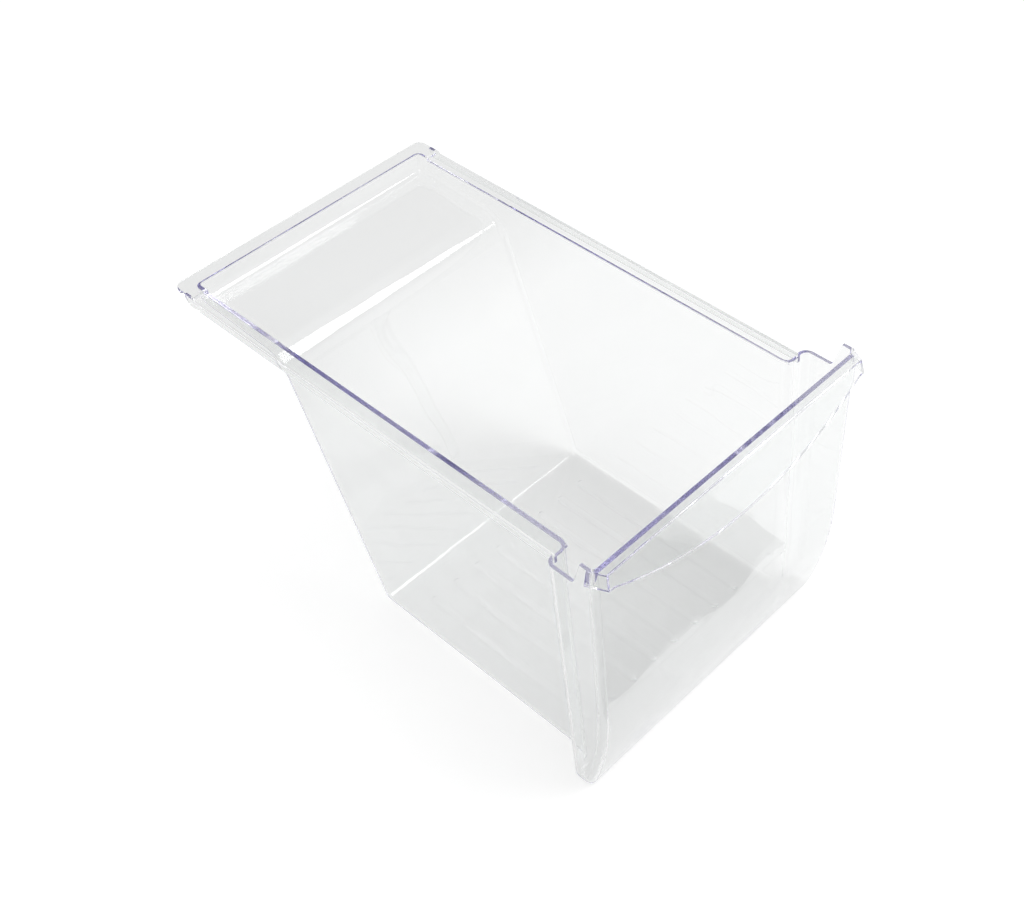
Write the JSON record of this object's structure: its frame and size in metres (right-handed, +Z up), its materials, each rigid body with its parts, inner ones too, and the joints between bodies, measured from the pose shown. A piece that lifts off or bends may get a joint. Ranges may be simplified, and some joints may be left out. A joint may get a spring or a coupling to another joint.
{
  "type": "fridge crisper drawer",
  "caption": "Clear one-piece fridge crisper drawer, open on top, with slide flanges, a slanted rear that rises to a shelf, a ribbed floor and a handle lip along a wider front.",
  "frame": {"origin": "middle of the overall box in plan, at the underside of the floor", "axes": "+Z up, +Y to the rear, the handle faces -Y, +X to the right seen from the front"},
  "size_m": [0.2686, 0.4506, 0.258],
  "materials": {
    "clear_plastic": "clear and polished"
  },
  "bodies": {
    "root": {"crisper_drawer": "clear_plastic"}
  },
  "joints": []
}
